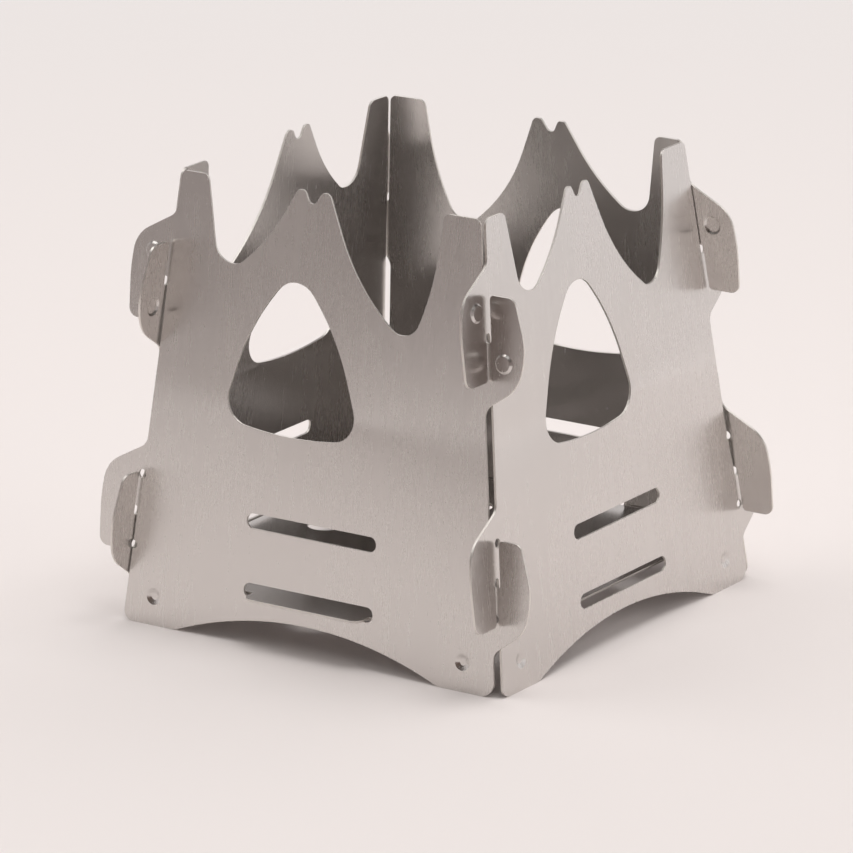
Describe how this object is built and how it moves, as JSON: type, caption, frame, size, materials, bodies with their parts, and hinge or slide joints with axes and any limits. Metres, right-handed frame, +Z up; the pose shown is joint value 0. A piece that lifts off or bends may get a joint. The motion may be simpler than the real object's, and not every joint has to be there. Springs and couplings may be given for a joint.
{
  "type": "pocket wood stove",
  "caption": "Flat-pack pocket wood stove: interlocking sheet-metal panels around a perforated base plate, open at the top for a pot.",
  "frame": {"origin": "on the ground, under the middle of the stove", "axes": "+Z up, -Y out through the front panel, +X out through the right panel"},
  "size_m": [0.1092, 0.1092, 0.0968],
  "materials": {
    "front_panel": "vertical brushed grain, outside and inside",
    "right_panel": "vertical brushed grain, outside and inside",
    "back_panel": "vertical brushed grain, outside and inside",
    "left_panel": "vertical brushed grain, outside and inside",
    "base_plate": "fine brushed grain"
  },
  "bodies": {
    "front_panel": {"front_panel": "front_panel"},
    "right_panel": {"right_panel": "right_panel"},
    "back_panel": {"back_panel": "back_panel"},
    "left_panel": {"left_panel": "left_panel"},
    "base_plate": {"base_plate": "base_plate"}
  },
  "joints": [
    {"name": "front_right_fold", "type": "hinge", "parent": "front_panel", "child": "right_panel", "pos_m": [0.048, -0.048, 0], "axis": [-0.1057, 0.1057, 0.9888], "range_deg": [-1.1, 1.1]},
    {"name": "front_left_fold", "type": "hinge", "parent": "front_panel", "child": "left_panel", "pos_m": [-0.048, -0.048, 0], "axis": [0.1057, 0.1057, 0.9888], "range_deg": [-1.1, 1.1]},
    {"name": "right_back_fold", "type": "hinge", "parent": "right_panel", "child": "back_panel", "pos_m": [0.048, 0.048, 0], "axis": [-0.1057, -0.1057, 0.9888], "range_deg": [-1.1, 1.1]},
    {"name": "base_plate_shift", "type": "slide", "parent": "front_panel", "child": "base_plate", "axis": [1, 0, 0], "range_m": [-0.00095, 0.00095]}
  ],
  "couplings": [
    {"joint": "front_left_fold", "follows": "front_right_fold", "ratio": 1},
    {"joint": "right_back_fold", "follows": "front_right_fold", "ratio": -1},
    {"joint": "base_plate_shift", "follows": "front_right_fold", "m_per_rad": -0.0469}
  ]
}
